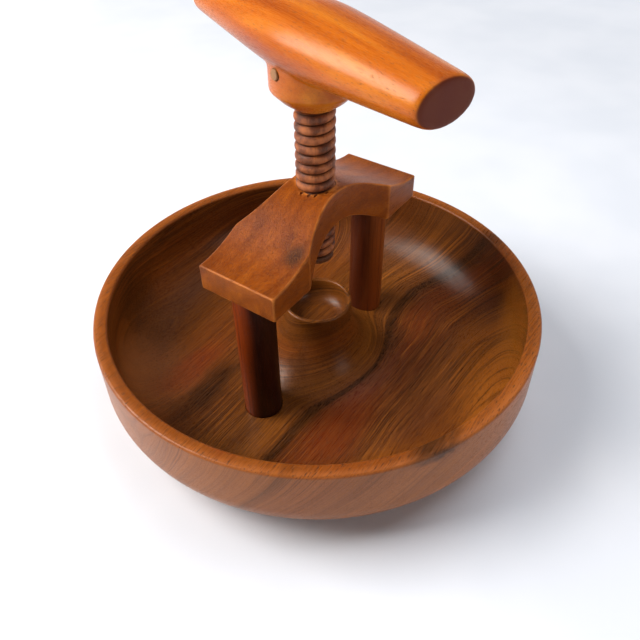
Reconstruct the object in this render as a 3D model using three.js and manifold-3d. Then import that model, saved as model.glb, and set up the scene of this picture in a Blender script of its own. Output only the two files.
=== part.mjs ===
// A screw nutcracker that stands in its own turned wooden bowl. Millimetres, +Z up.
// The origin is the centre of the bowl's base, on the surface it stands on.
// +X runs along the bridge. The screw is shown a nut's height above its cup.
import * as THREE from 'three';
import { mergeVertices } from 'three/addons/utils/BufferGeometryUtils.js';
import Module from 'manifold-3d';

const wasm = await Module();
wasm.setup();

// ---- driving dimensions ----
const GAP = 0.3; // clearance between neighbouring pieces
const OVERRUN = 1; // how far a cutter runs past the face that it cuts

const BOWL_RADIUS = 125; // outside edge of the rim
const BOWL_HEIGHT = 60;
const BOWL_BULGE = 0.5; // how far the wall swells past the rim
const BOWL_BULGE_HEIGHT = 32; // where the outer wall starts to turn in
const BOWL_BASE_RADIUS = 75;
const BASE_RECESS_RADIUS = 66;
const BASE_RECESS_DEPTH = 1.2;
const RIM_WIDTH = 7.6;
const RIM_ROUNDING = 1.6;
const FLOOR_HEIGHT = 12.5; // top of the bowl's floor
const COVE_WIDTH = 36; // sweep from the inner wall to the floor
const COVE_HEIGHT = 30;

const PEDESTAL_RADIUS = 19.8;
const FLARE_WIDTH = 32; // sweep from the pedestal to the floor
const FLARE_HEIGHT = 37;
const CUP_RADIUS = 17.4;
const CUP_RIM_HEIGHT = 53.3;
const CUP_FLOOR_HEIGHT = 40;
const CUP_COVE = 8;

const POST_SPACING = 107.8; // centre to centre
const POST_RADIUS = 10.5;
const LOWER_SOCKET = 5.5; // how deep the posts go into the bowl
const UPPER_SOCKET = 9; // and into the bridge
const SOCKET_CUT = 9; // rise of the lower socket's cutter, clear of the pedestal's sweep

const BRIDGE_LENGTH = 130;
const BRIDGE_WIDTH = 45; // across the pads
const BRIDGE_WAIST = 26.8;
const BRIDGE_WAIST_LENGTH = 73; // length of the arcs sawn into the sides
const BRIDGE_UNDERSIDE = 96.3; // height of the pads' undersides
const BRIDGE_END_THICKNESS = 14;
const BRIDGE_HUMP = 19.8; // rise of the top from the ends to the crown
const BRIDGE_HUMP_SPAN = 136;
const BRIDGE_HUMP_SHARPNESS = 1.15;
const BRIDGE_ARCH_RISE = 15;
const BRIDGE_ARCH_SPAN = 72;

const THREAD_RADIUS = 9.95;
const THREAD_DEPTH = 1.8;
const THREAD_PITCH = 5;
const THREAD_CREST = 1.9; // axial width of the rounded crest
const THREAD_ROOT = 0.4; // axial width of the groove's bottom
const THREAD_PHASE = 4.35; // height of a crest on the +X side
const THREAD_FOOT_HEIGHT = 89.4; // lower end of the screw
const THREAD_CLEARANCE = 0.35;
const SCREW_CHAMFER = 1.6;

const FOOT_RADIUS = 9;
const FOOT_THICKNESS = 3.7;
const FOOT_DISH = 0.8; // hollow of the face that bears on the nut
const FOOT_DISH_RADIUS = 6;
const FOOT_EDGE = 1.2; // chamfer of that face
const FOOT_SHOULDER = 0.8; // and of the face towards the screw
const STEM_RADIUS = 3;
const STEM_LENGTH = 10;

const HANDLE_AXIS_HEIGHT = 200.6;
const HANDLE_LENGTH = 160;
const HANDLE_MID_RADIUS = 14.8; // half of its height, in the middle
const HANDLE_OVAL = 1.57; // its width over its height
const HANDLE_TAPER = 0.074; // loss of radius per unit of length
const HANDLE_CROWN = 12; // how gently the two tapers meet in the middle
const HANDLE_ARRIS = 2;
const HANDLE_STATIONS = [-55, -22, -8, 8, 22, 55]; // where the bar's radius is worked out
const HANDLE_TURN = -108.2; // direction of the bar about +Z, degrees
const BOSS_FOOT_HEIGHT = 171;
const BOSS_FOOT_RADIUS = 10.3;
const BOSS_RADIUS = 20.5;
const BOSS_SHOULDER_HEIGHT = 180;
const BOSS_HOLLOW = 0.6; // how far the cone's slope sags in its middle
const SCREW_TENON_TOP = 203;
const SCREW_TENON_RADIUS = 7; // plain end of the screw, inside the boss

const PIN_RADIUS = 2.5;
const PIN_HEIGHT = 190;
const PIN_LENGTH = 42.4;

const WOOD_SCREW_HEAD_RADIUS = 4;
const WOOD_SCREW_HEAD_HEIGHT = 2.4;
const WOOD_SCREW_SHANK_RADIUS = 1.9;
const WOOD_SCREW_LENGTH = 34;
const WOOD_SCREW_SINK = 0.3; // how far the head sits above the recess's face
const WOOD_SCREW_EDGE = 0.3; // straight edge of the head
const WOOD_SCREW_TIP = 4;
const WOOD_SCREW_SLOT = 1;
const WOOD_SCREW_SLOT_DEPTH = 0.8;

// ---- facets round each kind of round piece ----
const BOWL_FACETS = 64;
const BAR_FACETS = 40;
const POST_FACETS = 32;
const TENON_FACETS = 24;
const THREAD_FACETS = 20;
const PIN_FACETS = 16;
const BRIDGE_TOP_STEPS = 20;
const BRIDGE_ARCH_STEPS = 12;

// ---- materials ----
const WOODS = {
  bowl: { color: 0x7a4526, roughness: 0.42, metalness: 0 },
  post: { color: 0x5e2a12, roughness: 0.4, metalness: 0 },
  bridge: { color: 0x9a5428, roughness: 0.45, metalness: 0 },
  screw: { color: 0x7c523a, roughness: 0.6, metalness: 0 },
  handle: { color: 0xa3561c, roughness: 0.35, metalness: 0 },
  foot: { color: 0x5a3018, roughness: 0.55, metalness: 0 },
  pin: { color: 0x8a5a30, roughness: 0.5, metalness: 0 },
  steel: { color: 0x9a9a98, roughness: 0.35, metalness: 1 },
};

// ---- solids ----
// Closed geometry to a solid that can be cut and joined.
function solid(geometry) {
  const bare = geometry.clone();
  bare.deleteAttribute('normal');
  bare.deleteAttribute('uv');
  const merged = mergeVertices(bare, 1e-3);
  const corners = merged.index.array;
  const triangles = [];
  for (let i = 0; i < corners.length; i += 3) {
    const [a, b, c] = [corners[i], corners[i + 1], corners[i + 2]];
    if (a !== b && b !== c && c !== a) triangles.push(a, b, c);
  }
  return new wasm.Manifold(new wasm.Mesh({
    numProp: 3,
    vertProperties: new Float32Array(merged.attributes.position.array),
    triVerts: new Uint32Array(triangles),
  }));
}

function geometryOf(body) {
  const mesh = body.getMesh();
  const geometry = new THREE.BufferGeometry();
  geometry.setAttribute('position', new THREE.BufferAttribute(mesh.vertProperties, 3));
  geometry.setIndex(new THREE.BufferAttribute(mesh.triVerts, 1));
  geometry.computeVertexNormals();
  return geometry;
}

// An elliptical arc in the (radius, height) plane, from angle `from` to angle `to` in degrees.
function arc(centre, radii, from, to, steps) {
  const points = [];
  for (let i = 0; i <= steps; i += 1) {
    const angle = THREE.MathUtils.degToRad(from + ((to - from) * i) / steps);
    points.push([centre[0] + radii[0] * Math.cos(angle), centre[1] + radii[1] * Math.sin(angle)]);
  }
  return points;
}

// A body of revolution about +Z from an anticlockwise (radius, height) profile.
function turned(profile, segments) {
  const points = profile.map(([radius, height]) => new THREE.Vector2(radius, height));
  return solid(new THREE.LatheGeometry(points, segments).rotateX(Math.PI / 2));
}

function rod(radius, bottom, top, segments) {
  return turned([[0, bottom], [radius, bottom], [radius, top], [0, top]], segments);
}

// A flat outline pushed through `depth`, centred on the plane it is drawn in.
function extruded(outline, depth) {
  const shape = new THREE.Shape(outline.map(([x, y]) => new THREE.Vector2(x, y)));
  const geometry = new THREE.ExtrudeGeometry(shape, { depth, bevelEnabled: false, steps: 1 });
  return geometry.translate(0, 0, -depth / 2);
}

// ---- the thread ----
// A rod with a right-hand helical thread. `grow` enlarges it all round, for cutting the nut.
function threadedRod(bottom, top, grow) {
  const segments = THREAD_FACETS;
  const crest = THREAD_CREST / 2 + grow;
  const root = Math.min(THREAD_PITCH / 2, (THREAD_PITCH - THREAD_ROOT) / 2 + grow);
  const flank = (THREAD_PITCH - THREAD_ROOT - THREAD_CREST) / 2;
  const rootRadius = THREAD_RADIUS + grow - (THREAD_DEPTH * (root - crest)) / flank;
  // one turn's breakpoints, as [height above the crest's centre, radius]
  const turn = [[-crest, THREAD_RADIUS + grow], [crest, THREAD_RADIUS + grow]];
  if (root < THREAD_PITCH / 2) {
    turn.push([root, rootRadius], [THREAD_PITCH - root, rootRadius]);
  } else {
    turn.push([root, rootRadius]);
  }
  const first = Math.floor((bottom - THREAD_PHASE) / THREAD_PITCH) - 2;
  const turns = Math.ceil((top - bottom) / THREAD_PITCH) + 4;
  const rows = turns * turn.length;
  const positions = [];
  for (let column = 0; column < segments; column += 1) {
    const angle = (2 * Math.PI * column) / segments;
    for (let row = 0; row < rows; row += 1) {
      const [rise, radius] = turn[row % turn.length];
      const lap = first + Math.floor(row / turn.length) + column / segments;
      const height = THREAD_PHASE + THREAD_PITCH * lap + rise;
      positions.push(radius * Math.cos(angle), radius * Math.sin(angle), height);
    }
  }
  const below = positions.length / 3;
  positions.push(0, 0, THREAD_PHASE + THREAD_PITCH * (first - 1));
  positions.push(0, 0, THREAD_PHASE + THREAD_PITCH * (first + turns + 1));
  const above = below + 1;
  // the column after the last is the first one again, one turn higher
  const at = (column, row) => (column < segments ? column * rows + row : row + turn.length);
  const triangles = [];
  for (let column = 0; column < segments; column += 1) {
    const last = column === segments - 1 ? rows - turn.length : rows;
    for (let row = 0; row < last - 1; row += 1) {
      const [a, b] = [at(column, row), at(column + 1, row)];
      const [c, d] = [at(column + 1, row + 1), at(column, row + 1)];
      triangles.push(a, b, c, a, c, d);
    }
    triangles.push(below, at(column + 1, 0), at(column, 0));
    triangles.push(above, at(column, last - 1), at(column + 1, last - 1));
  }
  for (let row = 0; row < turn.length; row += 1) {
    triangles.push(below, row, row + 1);
    const seam = at(segments - 1, rows - turn.length - 1 + row);
    triangles.push(above, seam + 1, seam);
  }
  const geometry = new THREE.BufferGeometry();
  geometry.setAttribute('position', new THREE.Float32BufferAttribute(positions, 3));
  geometry.setIndex(triangles);
  return solid(geometry).intersect(rod(THREAD_RADIUS * 2, bottom, top, PIN_FACETS));
}

// ---- the pieces ----
const POST_X = POST_SPACING / 2;
const BRIDGE_TOP_AT_END = BRIDGE_UNDERSIDE + BRIDGE_END_THICKNESS;
const THREAD_TOP = BOSS_FOOT_HEIGHT - GAP;

function bowl() {
  const inner = BOWL_RADIUS - RIM_WIDTH;
  const edge = RIM_ROUNDING;
  const wall = [BOWL_RADIUS + BOWL_BULGE - BOWL_BASE_RADIUS, BOWL_BULGE_HEIGHT];
  const sweep = [FLARE_WIDTH, FLARE_HEIGHT];
  const lip = (PEDESTAL_RADIUS - CUP_RADIUS) / 2;
  const profile = [
    [0, BASE_RECESS_DEPTH],
    [BASE_RECESS_RADIUS, BASE_RECESS_DEPTH],
    [BASE_RECESS_RADIUS + BASE_RECESS_DEPTH, 0],
    ...arc([BOWL_BASE_RADIUS, BOWL_BULGE_HEIGHT], wall, -90, 0, 9),
    ...arc([BOWL_RADIUS - edge, BOWL_HEIGHT - edge], [edge, edge], 0, 90, 2),
    ...arc([inner + edge, BOWL_HEIGHT - edge], [edge, edge], 90, 180, 2),
    ...arc([inner - COVE_WIDTH, FLOOR_HEIGHT + COVE_HEIGHT], [COVE_WIDTH, COVE_HEIGHT], 0, -90, 7),
    ...arc([PEDESTAL_RADIUS + FLARE_WIDTH, FLOOR_HEIGHT + FLARE_HEIGHT], sweep, -90, -180, 6),
    ...arc([PEDESTAL_RADIUS - lip, CUP_RIM_HEIGHT - lip], [lip, lip], 0, 180, 3),
    ...arc([CUP_RADIUS - CUP_COVE, CUP_FLOOR_HEIGHT + CUP_COVE], [CUP_COVE, CUP_COVE], 0, -90, 3),
    [0, CUP_FLOOR_HEIGHT],
  ];
  let body = turned(profile, BOWL_FACETS);
  const bottom = FLOOR_HEIGHT - LOWER_SOCKET - GAP;
  for (const side of [-1, 1]) {
    const socket = rod(POST_RADIUS + GAP, bottom, FLOOR_HEIGHT + SOCKET_CUT, POST_FACETS);
    body = body.subtract(socket.add(woodScrewBody(GAP)).translate([side * POST_X, 0, 0]));
  }
  return body;
}

function post() {
  const bottom = FLOOR_HEIGHT - LOWER_SOCKET;
  const top = BRIDGE_UNDERSIDE + UPPER_SOCKET;
  return rod(POST_RADIUS, bottom, top, POST_FACETS).subtract(woodScrewBody(GAP));
}

// The countersunk screw under a post, pointing up. `grow` gives the hole that it sits in.
function woodScrewBody(grow) {
  const underside = BASE_RECESS_DEPTH + WOOD_SCREW_SINK;
  const face = grow ? BASE_RECESS_DEPTH - OVERRUN : underside;
  const shank = WOOD_SCREW_SHANK_RADIUS + grow;
  const head = WOOD_SCREW_HEAD_RADIUS + grow;
  const tip = BASE_RECESS_DEPTH + WOOD_SCREW_LENGTH + grow;
  return turned([
    [0, face],
    [head, face],
    [head, underside + WOOD_SCREW_EDGE],
    [shank, underside + WOOD_SCREW_HEAD_HEIGHT],
    [shank, tip - WOOD_SCREW_TIP],
    [0, tip],
  ], THREAD_FACETS);
}

// A straight slot across the head's underside.
function woodScrew() {
  const length = 2 * (WOOD_SCREW_HEAD_RADIUS + OVERRUN);
  const box = new THREE.BoxGeometry(WOOD_SCREW_SLOT, length, 2 * WOOD_SCREW_SLOT_DEPTH);
  const slot = solid(box);
  return woodScrewBody(0).subtract(slot.translate([0, 0, BASE_RECESS_DEPTH + WOOD_SCREW_SINK]));
}

function bridgeTop(x) {
  const bell = (1 + Math.cos((2 * Math.PI * x) / BRIDGE_HUMP_SPAN)) / 2;
  return BRIDGE_TOP_AT_END + BRIDGE_HUMP * bell ** BRIDGE_HUMP_SHARPNESS;
}

function bridgeArch(x) {
  return BRIDGE_UNDERSIDE + BRIDGE_ARCH_RISE * Math.cos((Math.PI * x) / BRIDGE_ARCH_SPAN);
}

function bridge() {
  const end = BRIDGE_LENGTH / 2;
  const side = [[-end, BRIDGE_UNDERSIDE]];
  for (let i = 0; i <= BRIDGE_ARCH_STEPS; i += 1) {
    const x = BRIDGE_ARCH_SPAN * (i / BRIDGE_ARCH_STEPS - 0.5);
    side.push([x, bridgeArch(x)]);
  }
  side.push([end, BRIDGE_UNDERSIDE]);
  for (let i = 0; i <= BRIDGE_TOP_STEPS; i += 1) {
    const x = end - (BRIDGE_LENGTH * i) / BRIDGE_TOP_STEPS;
    side.push([x, bridgeTop(x)]);
  }
  // the waist is a circular arc sawn into each long side
  const sagitta = (BRIDGE_WIDTH - BRIDGE_WAIST) / 2;
  const halfChord = BRIDGE_WAIST_LENGTH / 2;
  const sawRadius = (halfChord ** 2 + sagitta ** 2) / (2 * sagitta);
  const sweep = THREE.MathUtils.radToDeg(Math.asin(halfChord / sawRadius));
  const sawCentre = BRIDGE_WAIST / 2 + sawRadius;
  const plan = [
    [-end, -BRIDGE_WIDTH / 2],
    ...arc([0, -sawCentre], [sawRadius, sawRadius], 90 + sweep, 90 - sweep, 10),
    [end, -BRIDGE_WIDTH / 2],
    [end, BRIDGE_WIDTH / 2],
    ...arc([0, sawCentre], [sawRadius, sawRadius], 270 + sweep, 270 - sweep, 10),
    [-end, BRIDGE_WIDTH / 2],
  ];
  const slab = solid(extruded(side, BRIDGE_WIDTH + 2 * OVERRUN).rotateX(Math.PI / 2));
  const tall = 4 * (BRIDGE_END_THICKNESS + BRIDGE_HUMP);
  const outline = solid(extruded(plan, tall).translate(0, 0, BRIDGE_UNDERSIDE));
  let body = slab.intersect(outline);
  for (const sign of [-1, 1]) {
    const ceiling = BRIDGE_UNDERSIDE + UPPER_SOCKET + GAP;
    const socket = rod(POST_RADIUS + GAP, BRIDGE_UNDERSIDE - OVERRUN, ceiling, POST_FACETS);
    body = body.subtract(socket.translate([sign * POST_X, 0, 0]));
  }
  const crown = bridgeTop(0);
  return body.subtract(threadedRod(BRIDGE_UNDERSIDE, crown + THREAD_PITCH, THREAD_CLEARANCE));
}

function pressScrew() {
  const foot = THREAD_FOOT_HEIGHT;
  const outside = THREAD_RADIUS + THREAD_CLEARANCE;
  const envelope = turned([
    [0, foot],
    [THREAD_RADIUS - SCREW_CHAMFER, foot],
    [outside, foot + SCREW_CHAMFER + THREAD_CLEARANCE],
    [outside, THREAD_TOP],
    [0, THREAD_TOP],
  ], THREAD_FACETS);
  const tenon = rod(SCREW_TENON_RADIUS, THREAD_TOP - OVERRUN, SCREW_TENON_TOP, TENON_FACETS);
  const bore = rod(STEM_RADIUS + GAP, foot - OVERRUN, foot + STEM_LENGTH + GAP, PIN_FACETS);
  return threadedRod(foot - OVERRUN, THREAD_TOP, 0)
    .intersect(envelope).add(tenon).subtract(bore).subtract(pinBody(GAP));
}

// The cross dowel through the boss, square to the bar. `grow` gives the hole that it sits in.
function pinBody(grow) {
  const half = PIN_LENGTH / 2 + (grow ? BOSS_RADIUS / 2 : 0);
  return rod(PIN_RADIUS + grow, -half, half, PIN_FACETS)
    .rotate([0, 90, 0]).rotate([0, 0, HANDLE_TURN + 90]).translate([0, 0, PIN_HEIGHT]);
}

function pressureFoot() {
  const top = THREAD_FOOT_HEIGHT - GAP;
  const bottom = top - FOOT_THICKNESS;
  const slope = FOOT_RADIUS - FOOT_EDGE;
  return turned([
    [0, bottom + FOOT_DISH],
    [FOOT_DISH_RADIUS, bottom + FOOT_DISH / 4],
    [slope, bottom],
    [FOOT_RADIUS, bottom + FOOT_EDGE],
    [FOOT_RADIUS, top - FOOT_SHOULDER],
    [FOOT_RADIUS - FOOT_SHOULDER, top],
    [STEM_RADIUS, top],
    [STEM_RADIUS, THREAD_FOOT_HEIGHT + STEM_LENGTH],
    [0, THREAD_FOOT_HEIGHT + STEM_LENGTH],
  ], POST_FACETS);
}

// Radius of the handle's bar at a distance from its middle.
function barRadius(distance) {
  return HANDLE_MID_RADIUS + HANDLE_TAPER * (HANDLE_CROWN - Math.hypot(distance, HANDLE_CROWN));
}

function handle() {
  const end = HANDLE_LENGTH / 2;
  const tip = barRadius(end) - HANDLE_ARRIS;
  const arris = [HANDLE_ARRIS, HANDLE_ARRIS];
  const profile = [[0, -end], ...arc([tip, HANDLE_ARRIS - end], arris, -90, 0, 2)];
  for (const distance of HANDLE_STATIONS) profile.push([barRadius(distance), distance]);
  profile.push(...arc([tip, end - HANDLE_ARRIS], arris, 0, 90, 2), [0, end]);
  const bar = turned(profile, BAR_FACETS).scale([1, HANDLE_OVAL, 1])
    .rotate([0, 90, 0]).rotate([0, 0, HANDLE_TURN]).translate([0, 0, HANDLE_AXIS_HEIGHT]);
  const middle = (BOSS_FOOT_HEIGHT + BOSS_SHOULDER_HEIGHT) / 2 - BOSS_HOLLOW;
  const boss = turned([
    [0, BOSS_FOOT_HEIGHT],
    [BOSS_FOOT_RADIUS, BOSS_FOOT_HEIGHT],
    [(BOSS_FOOT_RADIUS + BOSS_RADIUS) / 2, middle],
    [BOSS_RADIUS, BOSS_SHOULDER_HEIGHT],
    [BOSS_RADIUS, HANDLE_AXIS_HEIGHT],
    [0, HANDLE_AXIS_HEIGHT],
  ], BAR_FACETS);
  const bottom = BOSS_FOOT_HEIGHT - OVERRUN;
  const bore = rod(SCREW_TENON_RADIUS + GAP, bottom, SCREW_TENON_TOP + GAP, TENON_FACETS);
  return bar.add(boss).subtract(bore).subtract(pinBody(GAP));
}

// ---- the assembly ----
function mesh(name, body, wood, x = 0) {
  const piece = new THREE.Mesh(geometryOf(body), new THREE.MeshStandardMaterial(WOODS[wood]));
  piece.name = name;
  piece.position.x = x;
  return piece;
}

const group = new THREE.Group();
group.add(
  mesh('bowl', bowl(), 'bowl'),
  mesh('front_post', post(), 'post', -POST_X),
  mesh('rear_post', post(), 'post', POST_X),
  mesh('front_post_screw', woodScrew(), 'steel', -POST_X),
  mesh('rear_post_screw', woodScrew(), 'steel', POST_X),
  mesh('bridge', bridge(), 'bridge'),
  mesh('pressure_foot', pressureFoot(), 'foot'),
  mesh('press_screw', pressScrew(), 'screw'),
  mesh('handle', handle(), 'handle'),
  mesh('handle_pin', pinBody(0), 'pin'),
);

export default group;
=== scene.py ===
"""A screw nutcracker in its own turned wooden bowl, dressed for a close product view.

Every CAD node is replaced by a finer mesh of the same size, built here in millimetres in the row
frame: +Z up, +X along the bridge, the origin in the middle of the bowl's base. All the woods are
node materials whose grain is worked out in the same millimetres, so it runs through each piece as
through solid wood.
"""

import math

import bpy
from mathutils import Matrix, Vector, noise


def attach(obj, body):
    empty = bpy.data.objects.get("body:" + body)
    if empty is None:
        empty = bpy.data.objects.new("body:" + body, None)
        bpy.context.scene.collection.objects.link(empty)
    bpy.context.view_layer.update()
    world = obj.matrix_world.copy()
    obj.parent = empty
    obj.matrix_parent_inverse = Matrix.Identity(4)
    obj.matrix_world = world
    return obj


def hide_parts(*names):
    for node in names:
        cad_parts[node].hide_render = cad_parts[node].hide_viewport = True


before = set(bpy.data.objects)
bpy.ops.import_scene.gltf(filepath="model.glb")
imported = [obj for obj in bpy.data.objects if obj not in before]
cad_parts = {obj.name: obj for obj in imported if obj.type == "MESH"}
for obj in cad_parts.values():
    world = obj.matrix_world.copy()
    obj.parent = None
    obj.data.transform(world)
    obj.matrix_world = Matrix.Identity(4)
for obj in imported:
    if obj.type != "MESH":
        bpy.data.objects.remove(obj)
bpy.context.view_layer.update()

MM = 0.001
GAP = 0.3  # clearance round a piece in its socket

# ---- the sizes that the CAD model has, in millimetres ----
BOWL_RADIUS = 125
BOWL_HEIGHT = 60
BOWL_BULGE = 0.5
BOWL_BULGE_HEIGHT = 32
BOWL_BASE_RADIUS = 75
BELLY = BOWL_RADIUS + BOWL_BULGE - BOWL_BASE_RADIUS  # how far the wall swells past the base
BASE_RECESS_RADIUS = 66
BASE_RECESS_DEPTH = 1.2
RIM_WIDTH = 7.6
RIM_ROUNDING = 1.6
FLOOR_HEIGHT = 12.5
COVE_WIDTH = 36
COVE_HEIGHT = 30
PEDESTAL_RADIUS = 19.8
FLARE_WIDTH = 32
FLARE_HEIGHT = 37
CUP_RADIUS = 17.4
CUP_RIM_HEIGHT = 53.3
CUP_FLOOR_HEIGHT = 40
CUP_COVE = 8

POST_X = 53.9
POST_RADIUS = 10.5
POST_BOTTOM = 7.0
POST_TOP = 105.3
SOCKET_CUT_TOP = 21.5  # top of the lower socket's cutter, clear of the pedestal's sweep

BRIDGE_LENGTH = 130
BRIDGE_WIDTH = 45
BRIDGE_WAIST = 26.8
BRIDGE_WAIST_LENGTH = 73
BRIDGE_UNDERSIDE = 96.3
BRIDGE_TOP_AT_END = 110.3
BRIDGE_HUMP = 19.8
BRIDGE_HUMP_SPAN = 136
BRIDGE_HUMP_SHARPNESS = 1.15
BRIDGE_ARCH_RISE = 15
BRIDGE_ARCH_SPAN = 72
PAD_START = 50  # past here, along the bridge, neither the waist nor the arch reaches
CREASE = 0.25  # how softly they meet the pads

THREAD_RADIUS = 9.95
THREAD_DEPTH = 1.8
THREAD_PITCH = 5
THREAD_PHASE = 4.35
THREAD_CLEARANCE = 0.35
SCREW_FOOT_HEIGHT = 89.4
SCREW_TOP_HEIGHT = 170.7
SCREW_CHAMFER = 1.6
TENON_RADIUS = 7
TENON_TOP = 203
STEM_RADIUS = 3
STEM_LENGTH = 10
FOOT_RADIUS = 9
FOOT_THICKNESS = 3.7

HANDLE_AXIS_HEIGHT = 200.6
HANDLE_LENGTH = 160
HANDLE_MID_RADIUS = 14.8
HANDLE_OVAL = 1.57
HANDLE_TAPER = 0.074
HANDLE_CROWN = 12
HANDLE_ARRIS = 2
HANDLE_TURN = math.radians(-108.2)
BOSS_FOOT_HEIGHT = 171
BOSS_FOOT_RADIUS = 10.3
BOSS_RADIUS = 20.5
BOSS_SHOULDER_HEIGHT = 180
PIN_RADIUS = 2.5
PIN_HEIGHT = 190
PIN_LENGTH = 42.4

SCREW_HEAD_RADIUS = 4
SCREW_HEAD_HEIGHT = 2.4
SCREW_SHANK_RADIUS = 1.9
SCREW_LENGTH = 34
SCREW_SINK = 0.3
SCREW_SLOT_WIDTH = 1
SCREW_SLOT_DEPTH = 0.8


# ---- mesh work ----
def arc(centre, radii, start, end, steps):
    """Points on an elliptical arc from angle start to angle end, in degrees."""
    angles = [math.radians(start + (end - start) * i / steps) for i in range(steps + 1)]
    return [
        (centre[0] + radii[0] * math.cos(angle), centre[1] + radii[1] * math.sin(angle))
        for angle in angles
    ]


def add_mesh(name, points, faces):
    """A new object whose mesh has these points, given in millimetres."""
    mesh = bpy.data.meshes.new(name)
    mesh.from_pydata([Vector(p) * MM for p in points], [], faces)
    mesh.update()
    piece = bpy.data.objects.new(name, mesh)
    bpy.context.scene.collection.objects.link(piece)
    return piece


def turned(name, profile, segments):
    """A solid of revolution about +Z. Its (radius, height) profile runs anticlockwise."""
    points = [(0, 0, profile[0][1])]
    rings = profile[1:-1]
    for radius, height in rings:
        for i in range(segments):
            angle = 2 * math.pi * i / segments
            points.append((radius * math.cos(angle), radius * math.sin(angle), height))
    points.append((0, 0, profile[-1][1]))
    last = len(points) - 1
    faces = []
    for i in range(segments):
        here, there = 1 + i, 1 + (i + 1) % segments
        faces.append((0, there, here))
        for _ in rings[1:]:
            faces.append((here, there, there + segments, here + segments))
            here, there = here + segments, there + segments
        faces.append((here, there, last))
    return add_mesh(name, points, faces)


def rod(name, radius, bottom, top, segments=96):
    """A plain cylinder about +Z, used as a cutter."""
    return turned(name, [(0, bottom), (radius, bottom), (radius, top), (0, top)], segments)


def lofted(name, sections):
    """A solid through closed rings of as many points, anticlockwise seen from its far end."""
    count = len(sections[0])
    points = [p for section in sections for p in section]
    faces = [tuple(reversed(range(count)))]
    for i in range(len(sections) - 1):
        for j in range(count):
            k = (j + 1) % count
            faces.append(
                (i * count + j, i * count + k, (i + 1) * count + k, (i + 1) * count + j)
            )
    start = (len(sections) - 1) * count
    faces.append(tuple(range(start, start + count)))
    return add_mesh(name, points, faces)


def moved(piece, matrix):
    """Moves the piece's mesh by a matrix whose offsets are in millimetres."""
    in_metres = matrix.copy()
    in_metres.translation = matrix.translation * MM
    piece.data.transform(in_metres)
    return piece


def shifted(piece, x=0, y=0, z=0):
    return moved(piece, Matrix.Translation((x, y, z)))


def settle(piece):
    """Turns the piece's modifiers into mesh."""
    graph = bpy.context.evaluated_depsgraph_get()
    mesh = bpy.data.meshes.new_from_object(piece.evaluated_get(graph))
    piece.modifiers.clear()
    piece.data = mesh
    return piece


def carve(piece, tool, operation="DIFFERENCE"):
    """Cuts tool out of the piece, or joins it on or keeps what they share, and drops tool."""
    modifier = piece.modifiers.new("carve", "BOOLEAN")
    modifier.solver = "EXACT"
    modifier.operation = operation
    modifier.object = tool
    settle(piece)
    bpy.data.objects.remove(tool)
    return piece


def smoothed(piece, sharp_degrees=32):
    """Smooth shading that keeps the edges sharper than the angle."""
    piece.data.polygons.foreach_set("use_smooth", [True] * len(piece.data.polygons))
    piece.data.set_sharp_from_angle(angle=math.radians(sharp_degrees))
    return piece


def uneven(x, y, z, reach):
    """Smooth seeded unevenness from -1 to 1 that changes over about `reach` millimetres."""
    return noise.noise(Vector((x, y, z)) / reach)


# ---- the pieces ----
def bowl():
    inner = BOWL_RADIUS - RIM_WIDTH
    edge = RIM_ROUNDING
    lip = (PEDESTAL_RADIUS - CUP_RADIUS) / 2
    floor_edge = FLOOR_HEIGHT + COVE_HEIGHT
    flare = (PEDESTAL_RADIUS + FLARE_WIDTH, FLOOR_HEIGHT + FLARE_HEIGHT)
    cup_cove = (CUP_RADIUS - CUP_COVE, CUP_FLOOR_HEIGHT + CUP_COVE)
    ring_gap = 5
    flat = [(inner - COVE_WIDTH - ring_gap * i, FLOOR_HEIGHT) for i in range(1, 6)]
    profile = [
        (0, BASE_RECESS_DEPTH),
        (BASE_RECESS_RADIUS - 0.6, BASE_RECESS_DEPTH),
        (BASE_RECESS_RADIUS + BASE_RECESS_DEPTH, 0),
        *arc((BOWL_BASE_RADIUS, BOWL_BULGE_HEIGHT), (BELLY, BOWL_BULGE_HEIGHT), -90, 0, 36),
        *arc((BOWL_RADIUS - edge, BOWL_HEIGHT - edge), (edge, edge), 0, 90, 6),
        *arc((inner + edge, BOWL_HEIGHT - edge), (edge, edge), 90, 180, 6),
        *arc((inner - COVE_WIDTH, floor_edge), (COVE_WIDTH, COVE_HEIGHT), 0, -90, 28),
        *flat,
        *arc(flare, (FLARE_WIDTH, FLARE_HEIGHT), -90, -180, 24),
        *arc((PEDESTAL_RADIUS - lip, CUP_RIM_HEIGHT - lip), (lip, lip), 0, 180, 10),
        *arc(cup_cove, (CUP_COVE, CUP_COVE), 0, -90, 12),
        (0, CUP_FLOOR_HEIGHT),
    ]
    piece = turned("bowl_turned", profile, 256)
    for side in (-1, 1):
        socket = rod("socket", POST_RADIUS + GAP, POST_BOTTOM - GAP, SOCKET_CUT_TOP)
        carve(piece, shifted(socket, side * POST_X))
        carve(piece, shifted(wood_screw_blank("hole", GAP), side * POST_X))
    return smoothed(piece)


def post(name, x):
    """A dowel with slightly eased ends, a touch out of round as a hand-finished one is."""
    ease = 0.6
    steps = 40
    heights = [
        POST_BOTTOM + ease + (POST_TOP - POST_BOTTOM - 2 * ease) * i / steps
        for i in range(steps + 1)
    ]
    profile = [(0, POST_BOTTOM), (POST_RADIUS - ease, POST_BOTTOM)]
    profile += [(POST_RADIUS, height) for height in heights]
    profile += [(POST_RADIUS - ease, POST_TOP), (0, POST_TOP)]
    piece = turned(name, profile, 96)
    for vertex in piece.data.vertices:
        across, deep, high = vertex.co / MM
        give = 1 + 0.008 * (uneven(across + x, deep, high / 4, 9) - 0.5)
        vertex.co.x *= give
        vertex.co.y *= give
    carve(piece, wood_screw_blank("hole", GAP))
    return smoothed(shifted(piece, x))


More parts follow.
